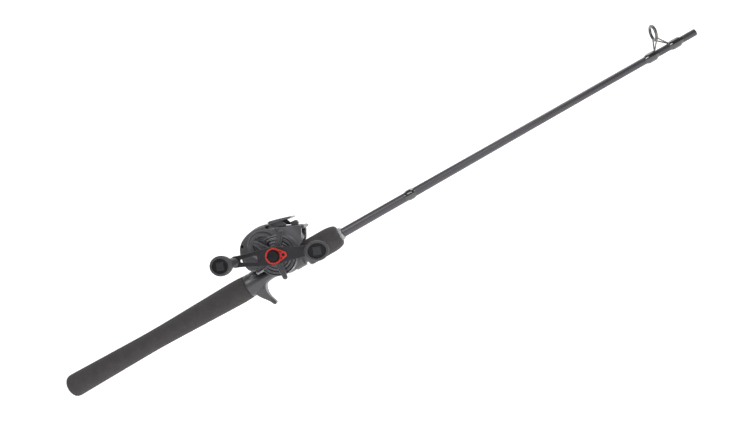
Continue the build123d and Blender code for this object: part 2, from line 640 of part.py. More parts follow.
def line_guide_eye():
    return rod_x(EYE_RING_R, 320.2, 328.8, 0, EYE_Z) - rod_x(EYE_BORE_R, 318, 330, 0, EYE_Z)


def thumb_bar():
    """Bar behind the spool that frees it when pressed."""
    profile = Face(Wire(
        Polyline((258.6, 30.0), (266.6, 29.0), (266.9, 36.5)).edges()
        + ThreePointArc((266.9, 36.5), (262.8, 39.6), (258.6, 30.0)).edges()))
    return slab(profile, -WALL_IN + 0.4, WALL_IN - 0.4)


def cast_control_cap():
    cap = rod_y(6.6, POCKET_FLOOR - 0.6, PLATE_FACE - 5.4, SPOOL_X, SPOOL_Z)
    cap = chamfer(cap.edges().sort_by(Axis.Y)[0], 0.8)
    for rib in range(24):
        x, z = polar(SPOOL_X, SPOOL_Z, 6.8, rib * 15)
        cap -= rod_y(0.45, PLATE_FACE + 2.0, PLATE_FACE - 4.0, x, z)
    return cap - rod_y(5.4 + RUNNING, -20, POCKET_FLOOR - 3.3, SPOOL_X, SPOOL_Z)


def brake_dial():
    dial = rod_y(8.0, 26.6, 29.4, SPOOL_X, SPOOL_Z)
    for notch in range(20):
        x, z = polar(SPOOL_X, SPOOL_Z, 8.2, notch * 18)
        dial -= rod_y(0.6, 27.6, 30, x, z)
    grip = block((SPOOL_X - 6.4, SPOOL_X + 6.4), (29.4, 30.6), (SPOOL_Z - 1.2, SPOOL_Z + 1.2))
    return dial + grip


def star_arm_points(arm):
    """Right base, tip start, tip middle, tip end and left base of one star arm."""
    angle = STAR_FIRST_ARM + 72 * arm

    def place(along, across):
        turn = math.radians(angle)
        x = along * math.cos(turn) - across * math.sin(turn)
        z = along * math.sin(turn) + across * math.cos(turn)
        return CRANK_X + x, CRANK_Z + z

    return place(15.5, -3.6), place(26.0, -2.6), place(STAR_R, 0), place(26.0, 2.6), place(15.5, 3.6)


def star_drag():
    edges = []
    for arm in range(5):
        base_r, tip_r, tip, tip_l, base_l = star_arm_points(arm)
        next_base = star_arm_points(arm + 1)[0]
        valley = polar(CRANK_X, CRANK_Z, 10.6, STAR_FIRST_ARM + 72 * arm + 36)
        edges += [Line(base_r, tip_r).edge(), ThreePointArc(tip_r, tip, tip_l).edge()]
        edges += [Line(tip_l, base_l).edge(), ThreePointArc(base_l, valley, next_base).edge()]
    star = slab(Face(Wire(edges)), STAR_IN, STAR_OUT)
    outer_edges = star.edges().filter_by(lambda e: abs(e.center().Y - STAR_OUT) < 0.01)
    star = chamfer(outer_edges, 0.8)
    star += rod_y(7.5, STAR_IN + 3.6, STAR_OUT - 2.0, CRANK_X, CRANK_Z)
    return star - rod_y(DRIVE_SHAFT_R + RUNNING, -60, -20, CRANK_X, CRANK_Z)


# The crank is drawn level about the origin, then tilted and set on its axis.
CRANK = Pos(CRANK_X, 0, CRANK_Z) * Rot(0, CRANK_TILT, 0)


def crank_outline():
    upper = Spline((-SPINDLE_RADIUS, 6.4), (-26.0, 7.6), (-8.0, 9.7), (4.0, 9.6), (17.0, 7.6),
                   (30.0, 6.2), (SPINDLE_RADIUS, 5.8))
    lower = Spline((SPINDLE_RADIUS, -5.8), (30.0, -6.2), (17.0, -7.6), (4.0, -9.6), (-8.0, -9.7),
                   (-26.0, -7.6), (-SPINDLE_RADIUS, -6.4))
    right = ThreePointArc((SPINDLE_RADIUS, 5.8), (SPINDLE_RADIUS + 5.8, 0), (SPINDLE_RADIUS, -5.8))
    left = ThreePointArc((-SPINDLE_RADIUS, -6.4), (-SPINDLE_RADIUS - 6.4, 0), (-SPINDLE_RADIUS, 6.4))
    return Face(Wire(upper.edges() + lower.edges() + right.edges() + left.edges()))


def crank_handle():
    """Plate with a flat hub and two arms that sweep in towards the reel."""
    end = SPINDLE_RADIUS + 8
    flat, inner = 12.0, HUB_OUT + PLATE_T
    bend = SPINDLE_RADIUS - 8
    outer_side = [(-end, HUB_OUT + ARM_SWEEP), (-bend, HUB_OUT + ARM_SWEEP), (-flat, HUB_OUT)]
    inner_side = [(-flat, inner), (-bend, inner + ARM_SWEEP), (-end, inner + ARM_SWEEP)]
    side = outer_side + [(-x, y) for x, y in reversed(outer_side)]
    side += [(-x, y) for x, y in reversed(inner_side)] + inner_side
    bent = extrude(Plane.XY.offset(-20) * polygon_face(side), amount=40, dir=(0, 0, 1))
    plate = bent & slab(crank_outline(), -60, -30)
    slot = make_hull((Pos(-36.0, 0) * Circle(1.7)).edges() + (Pos(-19.0, 0) * Circle(3.6)).edges())
    plate -= slab(slot, -60, -30)
    plate = CRANK * plate
    plate -= knob_spindle(-1) + knob_spindle(1)
    return plate - rod_y(DRIVE_SHAFT_R, -60, -30, CRANK_X, CRANK_Z)


def handle_nut():
    nut = slab(RegularPolygon(NUT_R, 6), HUB_OUT - 5.0, HUB_OUT)
    dome = rod_y(NUT_R - 1.2, HUB_OUT - 5.8, HUB_OUT - 5.0, 0, 0)
    nut = CRANK * (nut + dome)
    return nut - rod_y(DRIVE_SHAFT_R, HUB_OUT - 1.6, HUB_OUT + 1, CRANK_X, CRANK_Z)



def nut_retainer():
    """Red locking plate: its twelve-sided hole grips the nut, and its tip is screwed to the crank."""
    outer = make_hull(Circle(8.9).edges() + (Pos(RETAINER_TIP, 0) * Circle(3.7)).edges())
    plate = slab(outer, HUB_OUT - 1.6, HUB_OUT)
    plate -= slab(RegularPolygon(NUT_R + 0.1, 12), HUB_OUT - 3, HUB_OUT + 1)
    for side in (-1, 1):
        window = polygon_face([(7.6, side * 2.6), (10.2, side * 3.0), (6.6, side * 5.0)])
        plate -= slab(window, HUB_OUT - 3, HUB_OUT + 1)
    plate -= rod_y(1.9, HUB_OUT - 3, HUB_OUT - 0.5, RETAINER_TIP, 0)
    return CRANK * plate - CRANK * rod_y(0.8, HUB_OUT - 3, HUB_OUT + 1, RETAINER_TIP, 0)


def retainer_screw():
    screw = rod_y(1.8, HUB_OUT - 1.5, HUB_OUT - 0.5, RETAINER_TIP, 0)
    screw += rod_y(0.75, HUB_OUT - 0.5, HUB_OUT, RETAINER_TIP, 0)
    return CRANK * (screw - rod_y(0.8, HUB_OUT - 1.6, HUB_OUT - 1.0, RETAINER_TIP, 0))


def knob_place(side):
    """Frame of one knob: its local Z runs outward along the spindle from the crank plate."""
    splay = math.radians(KNOB_SPLAY)
    outward = (side * math.sin(splay), -math.cos(splay), 0)
    base = (side * SPINDLE_RADIUS, HUB_OUT + ARM_SWEEP + PLATE_T / 2, 0)
    return CRANK * Location(Plane(origin=base, x_dir=(0, 0, 1), z_dir=outward))


def knob_spindle(side):
    rise = PLATE_T / 2 + KNOB_GAP + KNOB_LENGTH - 4
    spindle = Pos(0, 0, rise / 2) * Cylinder(1.8, rise)
    spindle += Pos(0, 0, (PLATE_T / 2 + KNOB_GAP) / 2) * Cylinder(3.0, PLATE_T / 2 + KNOB_GAP - 0.2)
    return knob_place(side) * spindle


def knob_outline():
    """Half section of the knob before it is pressed oval: neck, flared grip and a shallow recess."""
    start = PLATE_T / 2 + KNOB_GAP
    end = start + KNOB_LENGTH
    neck, rim = KNOB_NECK_R, KNOB_R
    flank = Spline((neck, start + 1.0), (neck - 0.3, start + 8.0), (8.4, start + 17.0),
                   (rim - 0.3, start + 24.0), (rim, end - 1.6))
    edges = Polyline((0, start), (neck - 0.9, start), (neck, start + 1.0)).edges() + flank.edges()
    edges += Polyline((rim, end - 1.6), (rim - 1.2, end), (CAP_R, end), (CAP_R, end - 1.4), (0, end - 1.4),
                      (0, start)).edges()
    return Face(Wire(edges))


def pressed_oval(shape):
    """Narrower across the arm, longer along it."""
    return scale(shape, (KNOB_ACROSS, KNOB_ALONG, 1.0))


def knob(side):
    body = pressed_oval(revolve(Plane.XZ * knob_outline(), axis=Axis.Z))
    return knob_place(side) * (body - Cylinder(1.8 + RUNNING, 100))


def knob_cap(side):
    end = PLATE_T / 2 + KNOB_GAP + KNOB_LENGTH
    disc = pressed_oval(Pos(0, 0, end - 1.1) * Cylinder(CAP_R, 0.6))
    badge = Pos(0, 0, end - 0.8) * extrude(RectangleRounded(8.4, 8.4, 1.8), amount=0.6)
    return knob_place(side) * (disc + badge)


# ---------------------------------------------------------------- export
NODES = {
    "blank": blank,
    "rear_grip": rear_grip,
    "reel_seat": reel_seat,
    "sliding_hood": sliding_hood,
    "locking_nut": locking_nut,
    "fore_grip": fore_grip,
    "winding_check": winding_check,
    "hook_keeper": hook_keeper,
    "guide_frame": guide_frame,
    "guide_insert": guide_insert,
    "reel_frame": reel_frame,
    "reel_foot": reel_foot,
    "foot_rivets": foot_rivets,
    "handle_side_plate": handle_side_plate,
    "plate_screws": plate_screws,
    "palm_side_plate": palm_side_plate,
    "top_hood": top_hood,
    "spool_bearings": spool_bearings,
    "brake_magnet_ring": brake_magnet_ring,
    "main_bearing": main_bearing,
    "one_way_bearing": one_way_bearing,
    "worm_bushings": worm_bushings,
    "guide_rail": guide_rail,
    "idler_post": idler_post,
    "spool": spool,
    "spool_shaft": spool_shaft,
    "spool_drive_pin": spool_drive_pin,
    "brake_rotor": brake_rotor,
    "pinion": pinion,
    "clutch_yoke": clutch_yoke,
    "drive_gear": drive_gear,
    "drag_washers": drag_washers,
    "pressure_plate": pressure_plate,
    "drag_spring_washers": drag_spring_washers,
    "one_way_sleeve": one_way_sleeve,
    "drive_shaft": drive_shaft,
    "level_gear": level_gear,
    "idler_gear": idler_gear,
    "worm_gear": worm_gear,
    "worm_shaft": worm_shaft,
    "line_guide": line_guide,
    "line_guide_eye": line_guide_eye,
    "thumb_bar": thumb_bar,
    "cast_control_cap": cast_control_cap,
    "brake_dial": brake_dial,
    "star_drag": star_drag,
    "crank_handle": crank_handle,
    "handle_nut": handle_nut,
    "nut_retainer": nut_retainer,
    "retainer_screw": retainer_screw,
}


def main():
    os.makedirs(OUT, exist_ok=True)
    for node, build in NODES.items():
        save(node, build())
    save("keeper_wrap", wrap(*KEEPER_WRAP, 0.75) - hook_keeper())
    save("rear_foot_wrap", wrap(REAR_FOOT[0] - 1, REAR_FOOT[1] + 0.5, 1.0) - guide_frame())
    save("front_foot_wrap", wrap(FRONT_FOOT[0] - 0.5, FRONT_FOOT[1] + 1, 1.0) - guide_frame())
    for name, side in (("rear", -1), ("front", 1)):
        save(f"{name}_knob_spindle", knob_spindle(side))
        save(f"{name}_knob", knob(side))
        save(f"{name}_knob_cap", knob_cap(side))


main()
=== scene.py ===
"""Casting rod butt section with a low-profile baitcasting reel: looks, light and camera."""
import json
import math

import bmesh
import bpy
from mathutils import Matrix, Vector


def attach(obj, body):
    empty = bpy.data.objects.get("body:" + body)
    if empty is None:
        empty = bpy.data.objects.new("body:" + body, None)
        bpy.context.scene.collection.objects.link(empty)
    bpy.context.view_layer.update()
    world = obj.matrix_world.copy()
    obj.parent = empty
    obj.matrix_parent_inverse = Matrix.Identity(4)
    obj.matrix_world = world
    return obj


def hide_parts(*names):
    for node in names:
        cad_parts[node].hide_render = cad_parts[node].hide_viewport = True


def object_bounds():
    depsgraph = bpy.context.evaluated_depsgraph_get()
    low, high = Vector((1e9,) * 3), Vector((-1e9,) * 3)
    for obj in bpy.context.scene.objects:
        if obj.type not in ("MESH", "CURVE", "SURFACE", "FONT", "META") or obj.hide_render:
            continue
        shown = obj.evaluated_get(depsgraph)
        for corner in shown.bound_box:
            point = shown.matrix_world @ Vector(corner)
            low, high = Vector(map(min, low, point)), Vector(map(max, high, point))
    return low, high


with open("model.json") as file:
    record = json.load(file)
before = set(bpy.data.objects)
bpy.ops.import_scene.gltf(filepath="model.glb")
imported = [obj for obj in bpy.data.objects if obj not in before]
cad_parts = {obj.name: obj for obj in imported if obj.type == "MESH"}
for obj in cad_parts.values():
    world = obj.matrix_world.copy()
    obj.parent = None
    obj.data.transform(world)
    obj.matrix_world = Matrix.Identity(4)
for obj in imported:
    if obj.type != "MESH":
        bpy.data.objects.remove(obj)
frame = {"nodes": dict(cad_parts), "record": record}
cad_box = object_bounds()
MM = 0.001  # tables and reliefs are in millimetres on the CAD axes

# ---------------------------------------------------------------- driving values: finishes
MOTTLE_SCALE = 60.0
EDGE_WEAR_AND_HIGHLIGHT_FROM, EDGE_WEAR_AND_HIGHLIGHT_TO = 0.52, 0.62  # pointiness where the lighter edge colour (wear and painted highlight) starts and is full
EDGE_WIDTH, EDGE_SEGMENTS, EDGE_ANGLE = 0.25, 2, 32

# ---------------------------------------------------------------- driving values: grips, ring and wraps
GRIP_SEGMENTS, RING_SEGMENTS, WRAP_SEGMENTS = 128, 220, 96
BUTT_DOME = [(0.02, 5.6), (0.0, 8.8), (0.12, 9.8), (0.7, 11.4), (1.6, 12.5), (3.0, 13.2)]
REAR_GRIP = [(5, 13.6), (60, 12.55), (118, 11.75), (180, 13.05), (228, 14.1), (241.4, 13.6)]
REAR_GRIP_FRONT = [(241.7, 13.4), (242.0, 13.0), (242.0, 5.6)]
FORE_GRIP_BACK = [(320.6, 11.6), (320.6, 14.0), (320.9, 14.35)]
FORE_GRIP_R = 14.4
FORE_GRIP_NOSE = [(350, 14.4), (357, 13.4), (361.5, 11.6), (363, 9.6)]
FORE_GRIP_BORE = [(363.0, 9.4), (363.0, 5.95), (346.0, 5.95), (346.0, 11.6)]
RING_BACK = [(363.0, 5.95), (363.0, 7.3), (363.3, 7.5), (363.6, 7.3)]
RING_FRONT = [(365.6, 7.2), (365.9, 7.3), (366.3, 7.1), (367.0, 6.5), (367.0, 5.95)]
BEAD_START, BEAD_STEP, BEAD_ROWS = 363.8, 0.15, 12
BEAD_BASE_R, BEAD_HEIGHT, BEAD_WAVES, BEAD_SHARPNESS = 7.1, 0.38, 11, 0.6
BLANK = [(6, 5.6), (318, 5.6), (363, 5.4), (450, 5.15), (601, 4.45), (749, 4.1), (813, 3.85)]
THREAD_PITCH, THREAD_RIDGE = 0.5, 0.015
TAPER_LONGEST, TAPERS_PER_WRAP = 5.0, 3
FILM_EDGE, FILM_TRIM, WRAP_INSET = 0.13, 0.2, 0.2
# node, start, end, build of the film over the blank
WRAPS = (
    ("keeper_wrap", 449.0, 461.0, 1.2),
    ("rear_foot_wrap", 751.0, 767.5, 1.7),
    ("front_foot_wrap", 780.5, 797.0, 1.7),
)

# ---------------------------------------------------------------- driving values: gear cover
BODY_MIDDLE = (297.0, 29.0)
RIB_WALL = (-24.6, -18.0)  # span in y of the ribbed shoulder
RIB_SPIN = (84, 168)       # degrees about BODY_MIDDLE
RIBS_PER_TURN = 150
RIB_PULL = 0.0045          # half of the deepest pull, as a share of the distance to BODY_MIDDLE
RIB_FACING = 0.75
DRUM = (294.6, 14.0)
DRUM_FACE_R, DRUM_EDGE_R = 22.6, 22.8
# depth, then radii where the groove starts, is full, begins to rise and ends
DRUM_GROOVES = (
    (0.9, 19.3, 19.8, 20.9, 21.3),
    (0.9, 15.2, 15.6, 17.5, 18.0),
    (0.7, 12.6, 13.0, 13.5, 13.9),
)
OUTER_FACE_Y, OUTER_FACING = -20.5, -0.3
FACET_FROM_X, FACET_DEPTH = 306.0, 4.0
FACET_SPAN, FACET_LEAN, FACET_LEAN_Z, FACET_BLEND_R = (310.0, 331.0), 0.35, 30.0, 25.5
WALL_INNER_Y, WALL_THICKNESS = -17.0, 7.0
CAP = (285.2, 31.9)
SCOOP_DEPTH, SCOOP_R, SCOOP_BLEND, SCOOP_CLEAR_R = 1.3, 17.0, 4.0, 23.4
SCOOP_ABOVE_Z, SCOOP_BELOW_X = 14, 303

# ---------------------------------------------------------------- driving values: star drag, knobs and worm
STAR = (295.7, 15.1)
STAR_FACE_Y, STAR_TURN, STAR_ARMS = -40.6, 48.0, 5
ARM_HALF_WIDTH, ARM_NARROWING, ARM_NARROWS = 3.7, 1.0, (15.0, 26.0)
CHANNEL_DEPTH, CHANNEL_RIM, CHANNEL_EASE = 0.9, 1.0, 0.5
CHANNEL_START, CHANNEL_END, CHANNEL_END_EASE = (9.5, 10.5), 26.4, 0.8
BADGE_LEAN = 20.4  # degrees from the Z axis towards X
BADGE_HALF = 4.4
WORM_AXIS = (321.615, 20.137)
WORM_ENDS, WORM_HALF, WORM_SHOULDER = (-19.4, 16.7), 14.2, 0.01
WORM_R, JOURNAL_R = 2.35, 1.5
WORM_SEGMENTS, WORM_STEP, WORM_LEAD = 72, 0.2, 6.2
GROOVED_HALF, GROOVE_DEPTH, GROOVE_HALF, GROOVE_EASE = 12.2, 0.55, 0.75, 0.4

# ---------------------------------------------------------------- driving values in metres: stage, camera
FLOOR_DROP, FLOOR_FRONT, FLOOR_SIDES = 0.05, -9.0, (-10.0, 11.0)
BEND_START, BEND_R, BEND_STEPS, WALL_TOP = 1.6, 1.2, 12, 9.0
FLOOR_GLOW, WORLD_GLOW = 0.75, 0.22
AIM = (0.35, 0.0, 0.0)
# name, place, target, width and height, power
LIGHTS = (
    ("key", (0.2, -0.8, 0.7), AIM, (0.4, 0.4), 5),
    ("top", (0.95, 0.25, 1.05), AIM, (0.9, 0.5), 5),
    ("side", (0.62, -0.5, 0.3), (0.3, 0.0, 0.02), (0.15, 0.15), 0.8),
    ("fill", (-0.9, -0.9, 0.1), AIM, (0.8, 0.8), 2),
)
CAMERA_PLACE = Vector((0.465, -0.791, 0.0))
CAMERA_RIGHT = Vector((0.8667, 0.0599, -0.4952))
CAMERA_UP = Vector((0.4942, 0.0306, 0.8688))
CAMERA_LENS, CAMERA_SENSOR, CAMERA_NEAR = 33.5, 36.0, 0.01


# ---------------------------------------------------------------- node helpers
def new_material(name):
    material = bpy.data.materials.new(name)
    material.use_nodes = True
    return material, material.node_tree.nodes, material.node_tree.links


def set_shader(nodes, **values):
    shader = nodes["Principled BSDF"]
    for key, value in values.items():
        shader.inputs[key.replace("_", " ")].default_value = value
    return shader


def texture_coordinates(nodes, links, scale=(1, 1, 1)):
    place = nodes.new("ShaderNodeTexCoord")
    mapping = nodes.new("ShaderNodeMapping")
    mapping.inputs["Scale"].default_value = scale
    links.new(place.outputs["Object"], mapping.inputs["Vector"])
    return mapping.outputs["Vector"]


def noise(nodes, links, vector, scale, detail, roughness=0.55):
    texture = nodes.new("ShaderNodeTexNoise")
    texture.inputs["Scale"].default_value = scale
    texture.inputs["Detail"].default_value = detail
    texture.inputs["Roughness"].default_value = roughness
    links.new(vector, texture.inputs["Vector"])
    return texture.outputs["Fac"]


def ramp(nodes, links, factor, stops):
    node = nodes.new("ShaderNodeValToRGB")
    elements = node.color_ramp.elements
    while len(elements) < len(stops):
        elements.new(0.5)
    for element, (place, colour) in zip(elements, stops):
        element.position = place
        element.color = (*colour, 1.0)
    links.new(factor, node.inputs["Fac"])
    return node.outputs["Color"]


def spread(nodes, links, factor, low, high):
    """Maps a 0 to 1 factor to a range, for roughness."""
    node = nodes.new("ShaderNodeMapRange")
    node.inputs["To Min"].default_value = low
    node.inputs["To Max"].default_value = high
    links.new(factor, node.inputs["Value"])
    return node.outputs["Result"]


def bump(nodes, links, height, strength, distance):
    node = nodes.new("ShaderNodeBump")
    node.inputs["Strength"].default_value = strength
    node.inputs["Distance"].default_value = distance
    links.new(height, node.inputs["Height"])
    return node.outputs["Normal"]


def tinted(colour, factor):
    return tuple(min(1.0, channel * factor) for channel in colour)


def edge_light(nodes, links, colour, wear_and_highlight):
    """Lets a lighter colour show on convex edges: partly wear, partly a painted highlight."""
    geometry = nodes.new("ShaderNodeNewGeometry")
    limits = nodes.new("ShaderNodeMapRange")
    limits.inputs["From Min"].default_value = EDGE_WEAR_AND_HIGHLIGHT_FROM
    limits.inputs["From Max"].default_value = EDGE_WEAR_AND_HIGHLIGHT_TO
    links.new(geometry.outputs["Pointiness"], limits.inputs["Value"])
    blend = nodes.new("ShaderNodeMix")
    blend.data_type = "RGBA"
    links.new(limits.outputs["Result"], blend.inputs["Factor"])
    links.new(colour, blend.inputs["A"])
    blend.inputs["B"].default_value = (*wear_and_highlight, 1.0)
    return blend.outputs["Result"]


# ---------------------------------------------------------------- finishes
def surface(name, colour, rough, grain, depth, mottle, metallic=0.0, wear_and_highlight=None, stretch=(1, 1, 1),
            **shader_values):
    """General finish: mottled colour, uneven roughness, fine grain and lighter convex edges (wear and painted
    highlight).
    """
    material, nodes, links = new_material(name)
    shader = set_shader(nodes, Metallic=metallic, **shader_values)
    vector = texture_coordinates(nodes, links, stretch)
    broad = noise(nodes, links, vector, MOTTLE_SCALE, detail=3.0)
    fine = noise(nodes, links, vector, grain, detail=5.0, roughness=0.6)
    base = ramp(nodes, links, broad, [(0.3, tinted(colour, 1 - mottle)), (0.7, tinted(colour, 1 + mottle))])
    if wear_and_highlight is not None:
        base = edge_light(nodes, links, base, wear_and_highlight)
    links.new(base, shader.inputs["Base Color"])
    links.new(spread(nodes, links, fine, *rough), shader.inputs["Roughness"])
    links.new(bump(nodes, links, fine, 0.6, depth * MM), shader.inputs["Normal"])
    return material


def foam_material():
    """Closed-cell EVA foam: matt charcoal with fine sanded cells."""
    material, nodes, links = new_material("eva_foam")
    shader = set_shader(nodes, Sheen_Weight=0.08, Sheen_Roughness=0.6, Specular_IOR_Level=0.12)
    vector = texture_coordinates(nodes, links)
    cells = nodes.new("ShaderNodeTexVoronoi")
    cells.inputs["Scale"].default_value = 2200.0
    links.new(vector, cells.inputs["Vector"])
    grain = noise(nodes, links, vector, 1500.0, detail=4.0, roughness=0.7)
    broad = noise(nodes, links, vector, 90.0, detail=4.0)
    mixed = nodes.new("ShaderNodeMath")
    mixed.operation = "ADD"
    links.new(grain, mixed.inputs[0])
    links.new(cells.outputs["Distance"], mixed.inputs[1])
    base = ramp(nodes, links, grain, [(0.3, (0.03, 0.027, 0.028)), (0.52, (0.044, 0.04, 0.041)),
                                      (0.72, (0.066, 0.061, 0.061))])
    shade = ramp(nodes, links, broad, [(0.3, (0.88, 0.88, 0.88)), (0.7, (1.1, 1.1, 1.1))])
    tint = nodes.new("ShaderNodeMix")
    tint.data_type = "RGBA"
    tint.blend_type = "MULTIPLY"
    tint.inputs["Factor"].default_value = 1.0
    links.new(base, tint.inputs["A"])
    links.new(shade, tint.inputs["B"])
    links.new(tint.outputs["Result"], shader.inputs["Base Color"])
    links.new(spread(nodes, links, broad, 0.78, 0.92), shader.inputs["Roughness"])
    links.new(bump(nodes, links, mixed.outputs["Value"], 0.7, 0.12 * MM), shader.inputs["Normal"])
    return material


MATERIALS = {
    "grip_foam": foam_material(),
    "rod_blank": surface(
        "satin_blank", (0.036, 0.033, 0.039), rough=(0.32, 0.44), grain=700, depth=0.015, mottle=0.1,
        metallic=0.1, stretch=(0.25, 1, 1), Coat_Weight=0.2, Coat_Roughness=0.3),
    "seat_resin": surface(
        "seat_resin", (0.038, 0.037, 0.042), rough=(0.3, 0.42), grain=1400, depth=0.012, mottle=0.08,
        Coat_Weight=0.25, Coat_Roughness=0.35),
    "trim_silver": surface(
        "turned_silver", (0.3, 0.3, 0.315), rough=(0.25, 0.38), grain=500, depth=0.01, mottle=0.05,
        metallic=1.0),
    "wrap_epoxy": surface(
        "wrap_epoxy", (0.012, 0.012, 0.014), rough=(0.04, 0.1), grain=300, depth=0.02, mottle=0.2,
        Coat_Weight=1.0, Coat_Roughness=0.03),
    "guide_metal": surface(
        "gunmetal_wire", (0.16, 0.15, 0.145), rough=(0.25, 0.4), grain=900, depth=0.01, mottle=0.15,
        metallic=0.9, wear_and_highlight=(0.4, 0.38, 0.36)),
    "guide_ceramic": surface(
        "ceramic_ring", (0.035, 0.035, 0.04), rough=(0.08, 0.16), grain=600, depth=0.004, mottle=0.1,
        Coat_Weight=0.6, Coat_Roughness=0.06),
    # the lighter edge colour on the reel body is a painted highlight
    "reel_body": surface(
        "metallic_paint", (0.062, 0.061, 0.068), rough=(0.3, 0.4), grain=2600, depth=0.01, mottle=0.08,
        metallic=0.45, wear_and_highlight=(0.3, 0.3, 0.32), Coat_Weight=0.4, Coat_Roughness=0.25),
    "reel_body_dark": surface(
        "frame_resin", (0.028, 0.028, 0.031), rough=(0.3, 0.45), grain=1600, depth=0.012, mottle=0.1,
        wear_and_highlight=(0.1, 0.1, 0.11)),
    "screw_black": surface(
        "black_oxide", (0.006, 0.006, 0.007), rough=(0.16, 0.24), grain=1200, depth=0.002, mottle=0.2,
        wear_and_highlight=(0.03, 0.03, 0.033), Specular_IOR_Level=0.15),
    "steel": surface(
        "ground_steel", (0.5, 0.5, 0.52), rough=(0.2, 0.36), grain=900, depth=0.01, mottle=0.06,
        metallic=1.0),
    "brass": surface(
        "cut_brass", (0.72, 0.52, 0.24), rough=(0.2, 0.34), grain=900, depth=0.01, mottle=0.08, metallic=1.0),
    "carbon_washer": surface(
        "carbon_washer", (0.04, 0.04, 0.042), rough=(0.5, 0.7), grain=1800, depth=0.03, mottle=0.3),
    "spool_alloy": surface(
        "anodised_spool", (0.2, 0.2, 0.215), rough=(0.2, 0.32), grain=1200, depth=0.008, mottle=0.05,
        metallic=0.9, wear_and_highlight=(0.45, 0.45, 0.47)),
    "black_alloy": surface(
        "black_anodised", (0.022, 0.021, 0.025), rough=(0.34, 0.46), grain=2200, depth=0.008, mottle=0.1,
        metallic=0.6, wear_and_highlight=(0.11, 0.11, 0.12)),
    "grey_alloy": surface(
        "grey_anodised", (0.055, 0.055, 0.06), rough=(0.3, 0.42), grain=2200, depth=0.008, mottle=0.1,
        metallic=0.5, wear_and_highlight=(0.2, 0.2, 0.21)),
    "red_alloy": surface(
        "red_anodised", (0.4, 0.012, 0.01), rough=(0.3, 0.42), grain=1800, depth=0.008, mottle=0.06,
        metallic=0.35, wear_and_highlight=(0.5, 0.04, 0.03), Specular_IOR_Level=0.3),
    "acetal": surface(
        "acetal", (0.72, 0.71, 0.67), rough=(0.35, 0.5), grain=1200, depth=0.01, mottle=0.04,
        Subsurface_Weight=0.05),
    # the lighter edge colour on the knob's rim is a painted highlight
    "knob_rubber": surface(
        "knob_rubber", (0.034, 0.033, 0.037), rough=(0.42, 0.58), grain=1900, depth=0.02, mottle=0.1,
        wear_and_highlight=(0.13, 0.13, 0.14), Specular_IOR_Level=0.35),
    "knob_black": surface(
        "knob_black", (0.006, 0.006, 0.007), rough=(0.4, 0.55), grain=1500, depth=0.006, mottle=0.15,
        Specular_IOR_Level=0.15),
}
BADGE = surface(
    "knob_badge", (0.014, 0.014, 0.016), rough=(0.38, 0.5), grain=1500, depth=0.006, mottle=0.1,
    Specular_IOR_Level=0.3)

BODY_OF = {node: body for body, nodes in frame["record"]["behaviour"]["bodies"].items() for node in nodes}
SLOT_OF = {row["node"]: row["material_slot"] for row in frame["record"]["subparts"]}


def dress_cad_nodes():
    """Gives each CAD node its finish and eases its sharp edges."""
    for name, slot in SLOT_OF.items():
        node = frame["nodes"][name]
        for place in node.material_slots:
            place.material = MATERIALS[slot]
        bevel = node.modifiers.new("eased_edges", "BEVEL")
        bevel.width = EDGE_WIDTH * MM
        bevel.segments = EDGE_SEGMENTS
        bevel.limit_method = "ANGLE"
        bevel.angle_limit = math.radians(EDGE_ANGLE)


# ---------------------------------------------------------------- finer pieces in place of CAD solids
def place_mesh(name, mesh, node):
    """Shows a finished mesh in place of a CAD node, on the same body and in the same finish."""
    for polygon in mesh.polygons:
        polygon.use_smooth = True
    mesh.materials.clear()
    mesh.materials.append(MATERIALS[SLOT_OF[node]])
    piece = bpy.data.objects.new(name, mesh)
    bpy.context.collection.objects.link(piece)
    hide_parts(node)
    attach(piece, BODY_OF[node])
    return piece


def even_mesh(node, voxel):
    """Copy of a CAD node's mesh, remeshed at the voxel size."""
    helper = bpy.data.objects.new("helper", frame["nodes"][node].data.copy())
    bpy.context.collection.objects.link(helper)
    remesh = helper.modifiers.new("even", "REMESH")
    remesh.mode = "VOXEL"
    remesh.voxel_size = voxel * MM
    bpy.context.view_layer.update()
    depsgraph = bpy.context.evaluated_depsgraph_get()
    mesh = bpy.data.meshes.new_from_object(helper.evaluated_get(depsgraph))
    bpy.data.objects.remove(helper)
    return mesh


def refined(node, voxel, rounds, reshape=None):
    """Even, rounded copy of a CAD node: remeshed, reshaped, then smoothed."""
    mesh = even_mesh(node, voxel)
    shape = bmesh.new()
    shape.from_mesh(mesh)
    if reshape is not None:
        for vert in shape.verts:
            vert.co = reshape(vert.co / MM, vert.normal) * MM
    for _ in range(rounds):
        bmesh.ops.smooth_vert(shape, verts=shape.verts, factor=0.5,
                              use_axis_x=True, use_axis_y=True, use_axis_z=True)
    shape.to_mesh(mesh)
    shape.free()
    return place_mesh("fine_" + node, mesh, node)


def soft_step(value, low, high):
    share = max(0.0, min(1.0, (value - low) / (high - low)))
    return share * share * (3 - 2 * share)


def curve_through(stations, x):
    """Smooth interpolation of (x, radius) stations."""
    last = len(stations) - 2
    k = next((k for k in range(last) if x <= stations[k + 1][0]), last)
    (x1, r1), (x2, r2) = stations[k], stations[k + 1]
    x0, r0 = stations[max(k - 1, 0)]
    x3, r3 = stations[min(k + 2, len(stations) - 1)]
    slope1 = (r2 - r0) / (x2 - x0)
    slope2 = (r3 - r1) / (x3 - x1)
    run = x2 - x1
    t = max(0.0, min(1.0, (x - x1) / run))
    return ((2 * t ** 3 - 3 * t ** 2 + 1) * r1 + (t ** 3 - 2 * t ** 2 + t) * run * slope1
            + (3 * t ** 2 - 2 * t ** 3) * r2 + (t ** 3 - t ** 2) * run * slope2)


def skin(shape, rings):
    """Quads between neighbouring rings of verts."""
    for low, high in zip(rings, rings[1:]):
        for step in range(len(low)):
            after = (step + 1) % len(low)
            shape.faces.new((low[step], low[after], high[after], high[step]))


